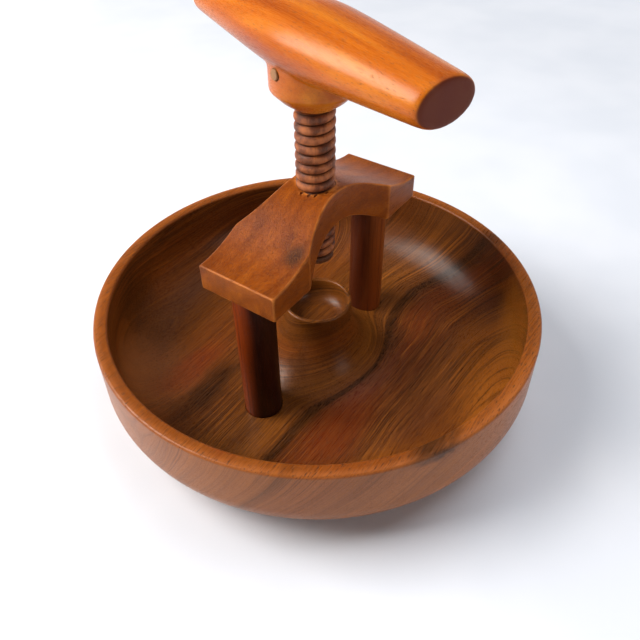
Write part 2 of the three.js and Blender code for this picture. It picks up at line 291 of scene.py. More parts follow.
def wood_screw_blank(name, grow):
    """The countersunk screw under a post without its slot. grow makes the hole that it sits in."""
    low = BASE_RECESS_DEPTH + SCREW_SINK
    face = BASE_RECESS_DEPTH - 1 if grow else low
    tip = BASE_RECESS_DEPTH + SCREW_LENGTH + grow
    shank = SCREW_SHANK_RADIUS + grow
    profile = [
        (0, face),
        (SCREW_HEAD_RADIUS + grow - 0.2, face),
        (SCREW_HEAD_RADIUS + grow, low + 0.2),
        (SCREW_HEAD_RADIUS + grow, low + 0.3),
        (shank, low + SCREW_HEAD_HEIGHT),
        (shank, tip - 4),
        (0, tip),
    ]
    return turned(name, profile, 48)


def wood_screw(name, x):
    piece = wood_screw_blank(name, 0)
    low = BASE_RECESS_DEPTH + SCREW_SINK
    wide, long = SCREW_SLOT_WIDTH / 2, SCREW_HEAD_RADIUS + 1
    outline = [(-wide, -long), (wide, -long), (wide, long), (-wide, long)]
    heights = (low - 1, low + SCREW_SLOT_DEPTH)
    slot = lofted("slot", [[(across, deep, z) for across, deep in outline] for z in heights])
    carve(piece, slot)
    return smoothed(shifted(piece, x))


def bridge_side(x):
    """Half the bridge's width at x: straight pads, a circular waist and an eased crease."""
    sagitta = (BRIDGE_WIDTH - BRIDGE_WAIST) / 2
    chord = BRIDGE_WAIST_LENGTH / 2
    saw = (chord**2 + sagitta**2) / (2 * sagitta)
    waist = BRIDGE_WAIST / 2 + saw - math.sqrt(saw**2 - min(abs(x), PAD_START) ** 2)
    return eased_least(waist, BRIDGE_WIDTH / 2, CREASE)


def eased_least(a, b, ease):
    """The lesser of two lengths, with the corner where they cross eased."""
    return (a + b - math.hypot(a - b, ease)) / 2


def bridge_top(x):
    bell = (1 + math.cos(2 * math.pi * x / BRIDGE_HUMP_SPAN)) / 2
    return BRIDGE_TOP_AT_END + BRIDGE_HUMP * bell**BRIDGE_HUMP_SHARPNESS


def bridge_bottom(x):
    arch = BRIDGE_ARCH_RISE * math.cos(math.pi * min(abs(x), PAD_START) / BRIDGE_ARCH_SPAN)
    return BRIDGE_UNDERSIDE - eased_least(-arch, 0, CREASE)


def rounded_section(x, half_width, bottom, top, radius):
    """A rounded rectangle across the bridge at x, anticlockwise seen from +X."""
    corners = [  # y, z, the bend's first angle, and the cuts along the side after it
        (half_width, bottom, -90, 5),
        (half_width, top, 0, 14),
        (-half_width, top, 90, 5),
        (-half_width, bottom, 180, 14),
    ]
    bend_steps = 6
    bends = []
    for y, z, start, _ in corners:
        centre = (y - math.copysign(radius, y), z + (radius if z == bottom else -radius))
        bends.append(arc(centre, (radius, radius), start, start + 90, bend_steps))
    ring = []
    for i, bend in enumerate(bends):
        ring += bend
        following = bends[(i + 1) % len(bends)][0]
        cuts = corners[i][3]
        for k in range(1, cuts):
            share = k / cuts
            ring.append(
                (
                    bend[-1][0] + (following[0] - bend[-1][0]) * share,
                    bend[-1][1] + (following[1] - bend[-1][1]) * share,
                )
            )
    return [(x, y, z) for y, z in ring]


def bridge_station(x, inset):
    """The bridge's section at x, drawn in by inset, with its edges worn unevenly."""
    radius = 0.95 + 0.35 * uneven(x, 0, 7, 14)
    return rounded_section(
        x,
        bridge_side(x) - inset,
        bridge_bottom(x) + inset,
        bridge_top(x) - inset,
        radius,
    )


def bridge():
    end = BRIDGE_LENGTH / 2
    ease = 0.9
    body_end = end - ease
    steps = 150
    stations = [(body_end * (2 * i / steps - 1), 0) for i in range(steps + 1)]
    curve = arc((body_end, ease), (ease, ease), -90, 0, 6)[1:]
    after = [(x, inset) for x, inset in curve]
    before = [(-x, inset) for x, inset in reversed(curve)]
    sections = [bridge_station(x, inset) for x, inset in before + stations + after]
    piece = lofted("bridge_carved", sections)
    for side in (-1, 1):
        ceiling = POST_TOP + GAP
        socket = rod("socket", POST_RADIUS + GAP, BRIDGE_UNDERSIDE - 1, ceiling)
        carve(piece, shifted(socket, side * POST_X))
    above = bridge_top(0) + THREAD_PITCH
    carve(piece, threaded_rod("hole", BRIDGE_UNDERSIDE, above, grow=THREAD_CLEARANCE, wear=0))
    for chip in rim_chips():
        carve(piece, chip)
    return smoothed(piece, 28)


def rim_chips():
    """Small splinters gone from the rim of the bridge's threaded hole."""
    from_axis = 10.4
    spots = [  # direction in degrees, length and width
        (172, 3.2, 1.5),
        (196, 2.2, 1.9),
        (214, 3.6, 1.3),
        (246, 2.0, 1.0),
        (338, 2.6, 1.6),
        (15, 2.0, 1.2),
        (100, 2.2, 1.2),
    ]
    chips = []
    for degrees, length, width in spots:
        angle = math.radians(degrees)
        profile = [(0, -0.8), (0.6, -0.6), (1, 0), (0.7, 0.6), (0, 0.8)]
        chip = turned("chip", profile, 9)
        x, y = from_axis * math.cos(angle), from_axis * math.sin(angle)
        shape = Matrix.Diagonal((length / 2, width / 2, 1, 1))
        chips.append(shifted(moved(chip, shape), x, y, bridge_top(x) + 0.1))
    return chips


def thread_radius(share, grow):
    """Radius at a share of the pitch from a crest's centre: a full ridge, a narrow groove."""
    across = abs((share + 0.5) % 1 - 0.5) * 2
    drop = 1 - (1 - across**2.4) ** 0.75
    return THREAD_RADIUS + grow - THREAD_DEPTH * drop


def threaded_rod(name, bottom, top, grow, wear):
    """A rod with a right-hand thread, grown all round by grow and roughened by wear. Its rows of
    points climb along the thread itself."""
    segments, rows_per_turn = 96, 14
    first = math.floor((bottom - THREAD_PHASE) / THREAD_PITCH) - 2
    turns = math.ceil((top - bottom) / THREAD_PITCH) + 4
    rows = turns * rows_per_turn
    points = []
    for column in range(segments):
        angle = 2 * math.pi * column / segments
        for row in range(rows):
            share = row / rows_per_turn
            height = THREAD_PHASE + THREAD_PITCH * (first + share + column / segments)
            radius = thread_radius(share, grow)
            x, y = radius * math.cos(angle), radius * math.sin(angle)
            radius -= wear * (0.5 + uneven(x, y, height, 3.2) + uneven(x, y, height, 11))
            points.append((radius * math.cos(angle), radius * math.sin(angle), height))
    below = len(points)
    points.append((0, 0, THREAD_PHASE + THREAD_PITCH * (first - 1)))
    points.append((0, 0, THREAD_PHASE + THREAD_PITCH * (first + turns + 1)))
    above = below + 1

    def at(column, row):
        """The column after the last is the first one again, one turn higher."""
        return column * rows + row if column < segments else row + rows_per_turn

    faces = []
    for column in range(segments):
        last = rows - rows_per_turn if column == segments - 1 else rows
        for row in range(last - 1):
            faces.append(
                (
                    at(column, row),
                    at(column + 1, row),
                    at(column + 1, row + 1),
                    at(column, row + 1),
                )
            )
        faces.append((below, at(column + 1, 0), at(column, 0)))
        faces.append((above, at(column, last - 1), at(column + 1, last - 1)))
    for row in range(rows_per_turn):
        seam = at(segments - 1, rows - rows_per_turn - 1 + row)
        faces.append((below, row, row + 1))
        faces.append((above, seam + 1, seam))
    piece = add_mesh(name, points, faces)
    envelope = rod("envelope", THREAD_RADIUS * 2, bottom, top, 24)
    return carve(piece, envelope, "INTERSECT")


def press_screw():
    below = SCREW_FOOT_HEIGHT - 1
    piece = threaded_rod("press_screw_cut", below, SCREW_TOP_HEIGHT, grow=0, wear=0.07)
    spare = 0.4
    wide = THREAD_RADIUS + spare
    profile = [
        (0, SCREW_FOOT_HEIGHT),
        (THREAD_RADIUS - SCREW_CHAMFER, SCREW_FOOT_HEIGHT),
        (wide, SCREW_FOOT_HEIGHT + SCREW_CHAMFER + spare),
        (wide, SCREW_TOP_HEIGHT + 1),
        (0, SCREW_TOP_HEIGHT + 1),
    ]
    carve(piece, turned("envelope", profile, 96), "INTERSECT")
    carve(piece, rod("tenon", TENON_RADIUS, SCREW_TOP_HEIGHT - 1, TENON_TOP, 64), "UNION")
    bore_top = SCREW_FOOT_HEIGHT + STEM_LENGTH + GAP
    carve(piece, rod("bore", STEM_RADIUS + GAP, SCREW_FOOT_HEIGHT - 1, bore_top, 48))
    carve(piece, pin_blank("pin_hole", GAP))
    return smoothed(piece, 40)


def pressure_foot():
    """The pad that bears on the nut, with a stem that turns freely in the screw's end."""
    top = SCREW_FOOT_HEIGHT - GAP
    bottom = top - FOOT_THICKNESS
    stem_top = SCREW_FOOT_HEIGHT + STEM_LENGTH
    dish = 0.8
    lower, upper = 1.2, 0.8  # the roundings of its edge
    profile = [
        (0, bottom + dish),
        (3, bottom + 0.65),
        (FOOT_RADIUS - 3, bottom + 0.2),
        *arc((FOOT_RADIUS - lower, bottom + lower), (lower, lower), -90, 0, 6),
        *arc((FOOT_RADIUS - upper, top - upper), (upper, upper), 0, 90, 5),
        (STEM_RADIUS + 0.4, top),
        (STEM_RADIUS, top + 0.3),
        (STEM_RADIUS, stem_top - 0.5),
        (STEM_RADIUS - 0.5, stem_top),
        (0, stem_top),
    ]
    return smoothed(turned("pressure_foot_turned", profile, 72))


def pin_blank(name, grow):
    """The cross dowel, square to the bar. grow makes the hole that it sits in."""
    half = PIN_LENGTH / 2 + 10 * grow
    radius = PIN_RADIUS + grow
    profile = [(0, -half), (radius - 0.3, -half), (radius, 0.3 - half)]
    profile += [(radius, half - 0.3), (radius - 0.3, half), (0, half)]
    lie = Matrix.Rotation(HANDLE_TURN + math.pi / 2, 4, "Z")
    lie = lie @ Matrix.Rotation(math.pi / 2, 4, "Y")
    return shifted(moved(turned(name, profile, 48), lie), z=PIN_HEIGHT)


def handle_pin():
    return smoothed(pin_blank("handle_pin_turned", 0))


def bar_radius(distance):
    """Half the bar's height at a distance from its middle."""
    crowned = HANDLE_CROWN - math.hypot(distance, HANDLE_CROWN)
    return HANDLE_MID_RADIUS + HANDLE_TAPER * crowned


def handle():
    """The oval bar and the boss under it, one piece of wood with a softened join."""
    end = HANDLE_LENGTH / 2
    tip = bar_radius(end) - HANDLE_ARRIS
    arris = (HANDLE_ARRIS, HANDLE_ARRIS)
    steps = 60
    reach = end - HANDLE_ARRIS
    side = [reach * (2 * i / steps - 1) for i in range(1, steps)]
    profile = [(0, -end), (tip / 2, -end)]
    profile += arc((tip, -reach), arris, -90, 0, 6)
    profile += [(bar_radius(distance), distance) for distance in side]
    profile += arc((tip, reach), arris, 0, 90, 6)
    profile += [(tip / 2, end), (0, end)]
    lie = Matrix.Rotation(HANDLE_TURN, 4, "Z") @ Matrix.Rotation(math.pi / 2, 4, "Y")
    lie = lie @ Matrix.Diagonal((1, HANDLE_OVAL, 1, 1))
    bar = moved(turned("handle_shaped", profile, 128), lie)
    piece = shifted(bar, z=HANDLE_AXIS_HEIGHT)
    carve(piece, boss(), "UNION")
    remesh = piece.modifiers.new("remesh", "REMESH")
    remesh.mode = "VOXEL"
    remesh.voxel_size = 0.8 * MM
    soften = piece.modifiers.new("soften", "SMOOTH")
    soften.factor = 0.5
    soften.iterations = 10
    settle(piece)
    bore_top = TENON_TOP + GAP
    carve(piece, rod("bore", TENON_RADIUS + GAP, BOSS_FOOT_HEIGHT - 1, bore_top, 64))
    carve(piece, pin_blank("pin_hole", GAP))
    return smoothed(piece, 40)


def boss():
    middle = (BOSS_FOOT_RADIUS + BOSS_RADIUS) / 2
    waist = (BOSS_FOOT_HEIGHT + BOSS_SHOULDER_HEIGHT) / 2 - 0.6
    profile = [
        (0, BOSS_FOOT_HEIGHT),
        (BOSS_FOOT_RADIUS - 0.3, BOSS_FOOT_HEIGHT),
        (BOSS_FOOT_RADIUS, BOSS_FOOT_HEIGHT + 0.3),
        (middle, waist),
        (BOSS_RADIUS, BOSS_SHOULDER_HEIGHT),
        (BOSS_RADIUS, HANDLE_AXIS_HEIGHT),
        (0, HANDLE_AXIS_HEIGHT),
    ]
    return turned("boss", profile, 128)


# ---- materials ----
def colour(code):
    """A linear colour from a six-digit display colour."""
    channels = [int(code[i : i + 2], 16) / 255 for i in (0, 2, 4)]
    linear = [
        c / 12.92 if c <= 0.04045 else ((c + 0.055) / 1.055) ** 2.4 for c in channels
    ]
    return (*linear, 1)


class Shader:
    """A new material's node tree, with one short call for each kind of node."""

    def __init__(self, name):
        self.material = bpy.data.materials.new(name)
        self.material.use_nodes = True
        self.tree = self.material.node_tree
        self.tree.nodes.clear()

    def put(self, kind, inputs, **settings):
        """A new node. An input is either another node's output or a plain value."""
        made = self.tree.nodes.new(kind)
        for key, value in settings.items():
            setattr(made, key, value)
        for key, value in inputs.items():
            if isinstance(value, bpy.types.NodeSocket):
                self.tree.links.new(value, made.inputs[key])
            else:
                made.inputs[key].default_value = value
        return made

    def number(self, operation, a, b=0.0, c=0.0):
        made = self.put("ShaderNodeMath", {0: a, 1: b, 2: c}, operation=operation)
        return made.outputs[0]

    def add(self, a, b):
        return self.number("ADD", a, b)

    def times(self, a, b):
        return self.number("MULTIPLY", a, b)

    def vector(self, operation, a, b=(0, 0, 0), out=0):
        made = self.put("ShaderNodeVectorMath", {0: a, 1: b}, operation=operation)
        return made.outputs[out]

    def length(self, vector):
        return self.vector("LENGTH", vector, out=1)

    def place(self):
        """The point's place in the row frame at rest, in millimetres."""
        coordinates = self.put("ShaderNodeTexCoord", {}).outputs["Object"]
        return self.vector("MULTIPLY", coordinates, (1000, 1000, 1000))

    def from_axis(self, place):
        """The point's distance from the Z axis."""
        return self.length(self.vector("MULTIPLY", place, (1, 1, 0)))

    def turned(self, place, degrees, axis=(0, 0, 1)):
        made = self.put(
            "ShaderNodeVectorRotate",
            {"Vector": place, "Axis": axis, "Angle": math.radians(degrees)},
            rotation_type="AXIS_ANGLE",
        )
        return made.outputs[0]

    def split(self, vector):
        return self.put("ShaderNodeSeparateXYZ", {0: vector}).outputs

    def join(self, x, y, z):
        return self.put("ShaderNodeCombineXYZ", {0: x, 1: y, 2: z}).outputs[0]

    def stretched(self, vector, along, across, up):
        """The vector in lengths of its own along each axis, for a pattern of that size."""
        return self.vector("MULTIPLY", vector, (1 / along, 1 / across, 1 / up))

    def noise(self, vector, detail, roughness, distortion=0.0):
        made = self.put(
            "ShaderNodeTexNoise",
            {
                "Vector": vector,
                "Scale": 1.0,
                "Detail": detail,
                "Roughness": roughness,
                "Distortion": distortion,
            },
        )
        return made.outputs[0]

    def spread(self, value, start, end, low=0.0, high=1.0):
        """A smooth step of value from start to end, as low to high."""
        made = self.put(
            "ShaderNodeMapRange",
            {"Value": value, 1: start, 2: end, 3: low, 4: high},
            interpolation_type="SMOOTHSTEP",
        )
        return made.outputs[0]

    def ramp(self, value, stops):
        """A colour from (position, display colour) stops in rising order."""
        made = self.put("ShaderNodeValToRGB", {0: value})
        elements = made.color_ramp.elements
        for element, (position, code) in zip(elements, (stops[0], stops[-1])):
            element.position = position
            element.color = colour(code)
        for position, code in stops[1:-1]:
            elements.new(position).color = colour(code)
        return made.outputs[0]

    def mix(self, share, base, code):
        """The base with a share of a display colour laid over it."""
        made = self.put("ShaderNodeMix", {0: share, 6: base, 7: colour(code)}, data_type="RGBA")
        return made.outputs[2]

    def spot(self, place, centre, size):
        """1 at the centre of an ellipsoid of this size, down to 0 at its surface."""
        off = self.stretched(self.vector("SUBTRACT", place, centre), *size)
        return self.spread(self.length(off), 0.25, 1.0, 1.0, 0.0)

    def bump(self, height, distance):
        inputs = {"Height": height, "Distance": distance * MM, "Strength": 1.0}
        return self.put("ShaderNodeBump", inputs).outputs[0]

    def finish(self, base, roughness, normal, coat=0.0, metallic=0.0, specular=0.5):
        inputs = {
            "Base Color": base,
            "Roughness": roughness,
            "Normal": normal,
            "Metallic": metallic,
            "Coat Weight": coat,
            "Specular IOR Level": specular,
            "Coat Roughness": 0.22,
        }
        surface = self.put("ShaderNodeBsdfPrincipled", inputs)
        self.put("ShaderNodeOutputMaterial", {0: surface.outputs[0]})
        return self.material


def fibres(shader, grain, length, width):
    """Fine streaks along a grain vector's X axis, about 0.5 in the middle."""
    return shader.noise(shader.stretched(grain, length, width, width), 4, 0.6)


def pores(shader, grain, length, width, least, most):
    """Short open pores along the grain: 1 in a pore and 0 between them."""
    speckle = shader.noise(shader.stretched(grain, length, width, width), 1.5, 0.5)
    return shader.spread(speckle, least, most)


def finish_grained(shader, base, rough, hole, fine, **finish):
    """Finishes a wood whose pores are rougher than its fibres and lie deeper."""
    rough = shader.number("MULTIPLY_ADD", hole, 0.2, rough)
    height = shader.number("MULTIPLY_ADD", hole, -0.6, shader.times(fine, 0.4))
    return shader.finish(base, rough, shader.bump(height, 0.12), **finish)


KNOT = (0, 88, 20)  # the heart of the knot in the bowl's wall, which runs along X

# Colours of the growth layers, as shares of the span from the first layer to the last.
ZONES_START = -130
ZONES_SPAN = 280
BOWL_ZONES = [
    (0.00, "8e4c16"),
    (0.14, "a05a1a"),
    (0.19, "7a4212"),
    (0.24, "50260d"),
    (0.31, "62260a"),
    (0.345, "4a1a08"),
    (0.364, "2e1208"),
    (0.374, "5c3010"),
    (0.45, "643812"),
    (0.56, "52290f"),
    (0.66, "6e3410"),
    (0.76, "5e3212"),
    (1.00, "7c4414"),
]
DARK_LINE = -27  # the layer of the bold line beside the pedestal

# Local colour in the bowl's wood, and one painted shadow: centre, size, colour and strength.
BOWL_SPOTS = [
    ((-80, 64, 18), (44, 40, 28), "a2643a", 0.55),
    # painted shadow of the front post on the pedestal's sweep
    ((-27, -5, 27), (12, 9, 18), "2a1206", 0.6),
    ((-64, 33, 13), (42, 12, 24), "120805", 0.85),
    ((-58, 53, 13), (40, 14, 22), "7c2a10", 0.55),
    ((-80, -6, 14), (26, 7, 16), "2a1208", 0.5),
    ((-42, -46, 13), (46, 18, 14), "5c1c06", 0.7),
    ((-46, 106, 36), (34, 26, 22), "1c0e07", 0.6),
    ((-16, -84, 20), (52, 28, 28), "4c220c", 0.8),
    ((30, -34, 16), (24, 12, 14), "2c1409", 0.55),
    ((60, -98, 42), (62, 26, 26), "c07426", 0.6),
]
RIM_SPOTS = [
    ((-54, -105, 60), (26, 13, 9), "120704", 0.9),
    ((102, -62, 60), (13, 12, 10), "2c1108", 0.7),
    ((-112, -28, 60), (9, 14, 8), "6e2c10", 0.6),
]


def bowl_wood():
    """Figured wood with its grain along the bridge, a bold dark line, a rim and outer wall lighter
    partly from painted light, and a painted shadow beside the front post.
    """
    wood = Shader("bowl_wood")
    place = wood.place()
    x, _, z = wood.split(place)
    core = wood.vector("MULTIPLY", wood.vector("SUBTRACT", place, KNOT), (0, 1, 1.3))
    from_knot = wood.length(core)
    layer = growth_layer(wood, place, from_knot)
    outer = outside(wood, place)

    share = wood.number("MULTIPLY_ADD", layer, 1 / ZONES_SPAN, -ZONES_START / ZONES_SPAN)
    base = wood.ramp(share, BOWL_ZONES)
    # outer wall painted lighter and pinker: partly the wood's own tone, partly painted sheen of
    # the white floor
    base = wood.mix(wood.times(outer, 0.6), base, "b8703e")
    base = bowl_figure(wood, base, wood.join(x, layer, z), outer, from_knot)
    base = spotted(wood, place, base, BOWL_SPOTS)
    from_line = wood.number("ABSOLUTE", wood.add(layer, -DARK_LINE))
    line = wood.spread(from_line, 1.4, 4.6, 0.97, 0.0)
    line = wood.times(line, wood.number("MULTIPLY_ADD", outer, -0.7, 1.0))
    base = wood.mix(line, base, "120603")
    # rim's upward face painted lighter orange: partly its own sanded colour, partly painted light
    rim = wood.spread(z, BOWL_HEIGHT - 2.2, BOWL_HEIGHT - 0.6)
    base = wood.mix(wood.times(rim, 0.5), base, "964a10")
    base = spotted(wood, place, base, RIM_SPOTS)

    hole = pores(wood, place, 3.4, 0.42, 0.58, 0.68)
    depth = wood.number("MULTIPLY_ADD", rim, 0.3, 0.55)
    base = wood.mix(wood.times(hole, depth), base, "241006")
    fine = fibres(wood, place, 14, 0.35)
    base = wood.mix(wood.spread(fine, 0.3, 0.75, 0.0, 0.22), base, "b8681e")
    rough = wood.number("MULTIPLY_ADD", hole, 0.25, wood.spread(fine, 0.3, 0.7, 0.25, 0.37))
    height = wood.number("MULTIPLY_ADD", hole, -0.6, wood.times(fine, 0.35))
    return wood.finish(base, rough, wood.bump(height, 0.12), specular=0.24)


def growth_layer(shader, place, from_knot):
    """The place of the point's growth layer across the bridge, in millimetres. The layers stand
    nearly upright in most of the bowl, lean over at the pedestal, and curl round the knot."""
    _, y, z = shader.split(place)
    lean = shader.spread(y, 0, 50, 0.85, 0)
    lean = shader.add(lean, shader.spread(shader.from_axis(place), 34, 62, 2.3, 0))
    layer = shader.number("SUBTRACT", KNOT[1], from_knot)
    layer = shader.number("MULTIPLY_ADD", lean, shader.add(z, -FLOOR_HEIGHT), layer)
    wave = shader.noise(shader.stretched(place, 75, 60, 60), 1.5, 0.45)
    layer = shader.number("MULTIPLY_ADD", shader.add(wave, -0.5), 10, layer)
    bulge = shader.spot(place, (70, -22, 16), (40, 40, 30))
    return shader.number("MULTIPLY_ADD", bulge, -6, layer)


def outside(shader, place):
    """1 on the bowl's outer wall and underside, and 0 on its inside."""
    height = shader.split(place)[2]
    radius = shader.from_axis(place)
    across = shader.number("MULTIPLY_ADD", radius, 1 / BELLY, -BOWL_BASE_RADIUS / BELLY)
    across = shader.number("MAXIMUM", across, 0)
    down = shader.number("MINIMUM", height, BOWL_BULGE_HEIGHT)
    down = shader.number("MULTIPLY_ADD", down, 1 / BOWL_BULGE_HEIGHT, -1)
    reach = shader.add(shader.times(across, across), shader.times(down, down))
    return shader.spread(reach, 0.80, 0.92)


def bowl_figure(shader, base, sheet, outer, from_knot):
    """Bands, streaks, thin lines and veins along the growth layers, the second axis of sheet.
    They are calmer in places, at the knot and on the bowl's outside."""
    calm = shader.noise(shader.stretched(sheet, 90, 22, 90), 1, 0.5)
    strength = shader.spread(calm, 0.38, 0.62, 0.5, 1.0)
    strength = shader.times(strength, shader.spread(from_knot, 4, 42, 0.25, 1.0))
    strength = shader.times(strength, shader.number("MULTIPLY_ADD", outer, -0.5, 1.0))
    band = shader.noise(shader.stretched(sheet, 170, 8, 200), 2, 0.5)
    streak = shader.noise(shader.stretched(sheet, 120, 1.7, 160), 4, 0.65, 0.1)
    thin = shader.noise(shader.stretched(sheet, 55, 0.6, 80), 2, 0.5)
    marks = [  # pattern, where its mark starts and is full, its share when full, and its colour
        (band, 0.42, 0.68, 0.5, "2a1208"),
        (streak, 0.5, 0.30, 0.75, "1e0d05"),
        (streak, 0.52, 0.72, 0.5, "a8621e"),
        (thin, 0.48, 0.34, 0.9, "1e0d05"),
        (thin, 0.54, 0.68, 0.5, "a25c1c"),
    ]
    for pattern, start, full, most, code in marks:
        share = shader.times(shader.spread(pattern, start, full, 0.0, most), strength)
        base = shader.mix(share, base, code)
    vein = shader.noise(shader.stretched(sheet, 190, 12, 240), 1, 0.4)
    vein = shader.number("ABSOLUTE", shader.add(vein, -0.5))
    share = shader.times(shader.spread(vein, 0.0, 0.013, 0.6, 0.0), strength)
    return shader.mix(share, base, "1c0b05")


def spotted(shader, place, base, spots):
    """Lays soft ragged patches of colour over the base: mostly the wood's local colour, and beside
    the front post a painted shadow.
    """
    ragged = shader.noise(shader.stretched(place, 22, 6, 9), 3, 0.6)
    jolt = shader.vector("MULTIPLY", shader.join(ragged, ragged, ragged), (16, 16, 10))
    place = shader.vector("ADD", place, shader.vector("SUBTRACT", jolt, (8, 8, 5)))
    for centre, size, code, strength in spots:
        share = shader.times(shader.spot(place, centre, size), strength)
        base = shader.mix(share, base, code)
    return base


def plain_wood(name, along, tones, low, high, coat=0.1, specular=0.35, end=None):
    """Straight-grained wood. along is the turn that lays the grain on X, tones run dark to light,
    low and high bound the roughness, and end is how far along X the end grain is, if it shows."""
    wood = Shader(name)
    grain = along(wood, wood.place())
    ring = wood.noise(wood.stretched(grain, 150, 9, 14.4), 2, 0.5)
    base = wood.ramp(ring, [(0.3, tones[0]), (0.5, tones[1]), (0.68, tones[2])])
    streak = wood.noise(wood.stretched(grain, 60, 1.6, 2.4), 4, 0.6)
    base = wood.mix(wood.spread(streak, 0.32, 0.68, 0.35, 0.0), base, tones[0])
    hole = pores(wood, grain, 3.2, 0.38, 0.62, 0.72)
    base = wood.mix(wood.times(hole, 0.5), base, "1e0c05")
    fine = fibres(wood, grain, 10, 0.3)
    base = wood.mix(wood.spread(fine, 0.3, 0.75, 0.0, 0.25), base, tones[2])
    rough = wood.spread(fine, 0.3, 0.7, low, high)
    if end is not None:
        from_middle = wood.number("ABSOLUTE", wood.split(grain)[0])
        past = wood.spread(from_middle, end - 1.2, end - 0.4)
        base = wood.mix(wood.times(past, 0.95), base, "561a03")
        rough = wood.number("MULTIPLY_ADD", past, 0.3, rough)
    return finish_grained(wood, base, rough, hole, fine, coat=coat, specular=specular)


def bridge_wood():
    """Orange-brown wood with short pores along it, a small dark knot, and edges lighter from
    rubbed wear and a painted highlight.
    """
    wood = Shader("bridge_wood")
    place = wood.place()
    x, y, z = wood.split(place)
    knot = (-40, -16, 116.5)
    pull = wood.spot(place, knot, (30, 16, 24))
    grain = wood.join(x, wood.number("MULTIPLY_ADD", pull, 4, y), z)
    ring = wood.noise(wood.stretched(grain, 110, 9, 14), 2, 0.5)
    base = wood.ramp(ring, [(0.3, "5c2204"), (0.5, "823a07"), (0.7, "9e500c")])
    streak = wood.noise(wood.stretched(grain, 45, 1.3, 2), 4, 0.62)
    base = wood.mix(wood.spread(streak, 0.3, 0.68, 0.45, 0.0), base, "6a2606")
    blotch = wood.noise(wood.stretched(grain, 9, 3.2, 4), 4, 0.7)
    base = wood.mix(wood.spread(blotch, 0.5, 0.66, 0.0, 0.35), base, "6a2e0e")
    base = wood.mix(wood.spread(blotch, 0.48, 0.34, 0.0, 0.2), base, "b8641a")
    eye = wood.spot(place, knot, (9, 6.5, 9))
    base = wood.mix(wood.times(eye, 0.95), base, "260a08")
    hole = pores(wood, grain, 3.4, 0.36, 0.56, 0.66)
    base = wood.mix(wood.times(hole, 0.6), base, "4a1c08")
    fine = fibres(wood, grain, 9, 0.3)
    base = wood.mix(wood.spread(fine, 0.3, 0.75, 0.0, 0.3), base, "b86c24")
    # convex edges painted lighter: partly rubbed wear, partly a painted highlight
    wear_and_highlight = wood.noise(wood.stretched(place, 14, 14, 14), 3, 0.6)
    wear_and_highlight = wood.spread(wear_and_highlight, 0.36, 0.6, 0.15, 0.65)
    proud = wood.put("ShaderNodeNewGeometry", {}).outputs["Pointiness"]
    wear_and_highlight = wood.times(wood.spread(proud, 0.504, 0.53), wear_and_highlight)
    base = wood.mix(wear_and_highlight, base, "dc843a")
    rough = wood.spread(fine, 0.3, 0.7, 0.28, 0.42)
    return finish_grained(wood, base, rough, hole, fine, specular=0.15)


def post_wood(name, x, tones, facing, edge):
    """Dark heartwood, with lighter wood on the side that faces one way, from `edge` millimetres
    off the post's axis. On the rear post the dark side is painted shade. tones are two dark
    ones and the lighter one."""
    wood = Shader(name)
    place = wood.place()
    grain = upright(wood, place)
    wave = wood.noise(wood.stretched(place, 12, 12, 70), 2, 0.5)
    off = wood.vector("SUBTRACT", place, (x, 0, 0))
    side = wood.vector("DOT_PRODUCT", off, facing, out=1)
    side = wood.number("MULTIPLY_ADD", wood.add(wave, -0.5), 6, side)
    base = wood.ramp(wave, [(0.3, tones[0]), (0.6, tones[1])])
    base = wood.mix(wood.spread(side, edge - 4, edge + 5), base, tones[2])
    streak = wood.noise(wood.stretched(grain, 60, 1.2, 1.2), 4, 0.6)
    base = wood.mix(wood.spread(streak, 0.5, 0.3, 0.0, 0.6), base, tones[0])
    hole = pores(wood, grain, 3.4, 0.4, 0.62, 0.72)
    base = wood.mix(wood.times(hole, 0.4), base, "120502")
    fine = fibres(wood, grain, 10, 0.3)
    base = wood.mix(wood.spread(fine, 0.4, 0.8, 0.0, 0.18), base, "8a3a12")
    rough = wood.spread(fine, 0.3, 0.7, 0.28, 0.42)
    return finish_grained(wood, base, rough, hole, fine, coat=0.05, specular=0.35)


def screw_wood():
    """Dull handled wood, with painted shade in the thread's grooves, and crests lighter from
    rubbed wear and a painted highlight.
    """
    wood = Shader("screw_wood")
    place = wood.place()
    grain = upright(wood, place)
    radius = wood.from_axis(place)
    patch = wood.noise(wood.stretched(place, 7, 7, 9), 3, 0.6)
    base = wood.ramp(patch, [(0.32, "421c0c"), (0.5, "7a3a18"), (0.66, "b0622c")])
    streak = wood.noise(wood.stretched(grain, 22, 0.9, 0.9), 4, 0.62)
    base = wood.mix(wood.spread(streak, 0.5, 0.3, 0.0, 0.6), base, "2e140a")
    # crests lighter: partly rubbed wear, partly a painted highlight
    wear_and_highlight = wood.spread(radius, THREAD_RADIUS - 0.6, THREAD_RADIUS - 0.1)
    wear_and_highlight = wood.times(wear_and_highlight, wood.spread(patch, 0.42, 0.6, 0.1, 0.6))
    base = wood.mix(wear_and_highlight, base, "b87044")
    # painted shade: darker down into the thread's grooves
    painted_groove_shade = wood.spread(radius, THREAD_RADIUS - 0.6, THREAD_RADIUS - 1.7, 0.0, 0.8)
    base = wood.mix(painted_groove_shade, base, "1e0b06")
    fine = fibres(wood, grain, 5, 0.3)
    base = wood.mix(wood.spread(fine, 0.4, 0.75, 0.0, 0.3), base, "a06a48")
    rough = wood.spread(patch, 0.3, 0.7, 0.42, 0.62)
    height = wood.add(wood.times(fine, 0.6), wood.times(patch, 0.8))
    return wood.finish(base, rough, wood.bump(height, 0.3), specular=0.3)


def upright(shader, place):
    """Lays a grain that runs up +Z along X."""
    return shader.turned(place, 90, (0, 1, 0))


def along_bar(shader, place):
    """Lays the handle's grain, which runs along its bar, on X."""
    return shader.turned(place, -math.degrees(HANDLE_TURN))


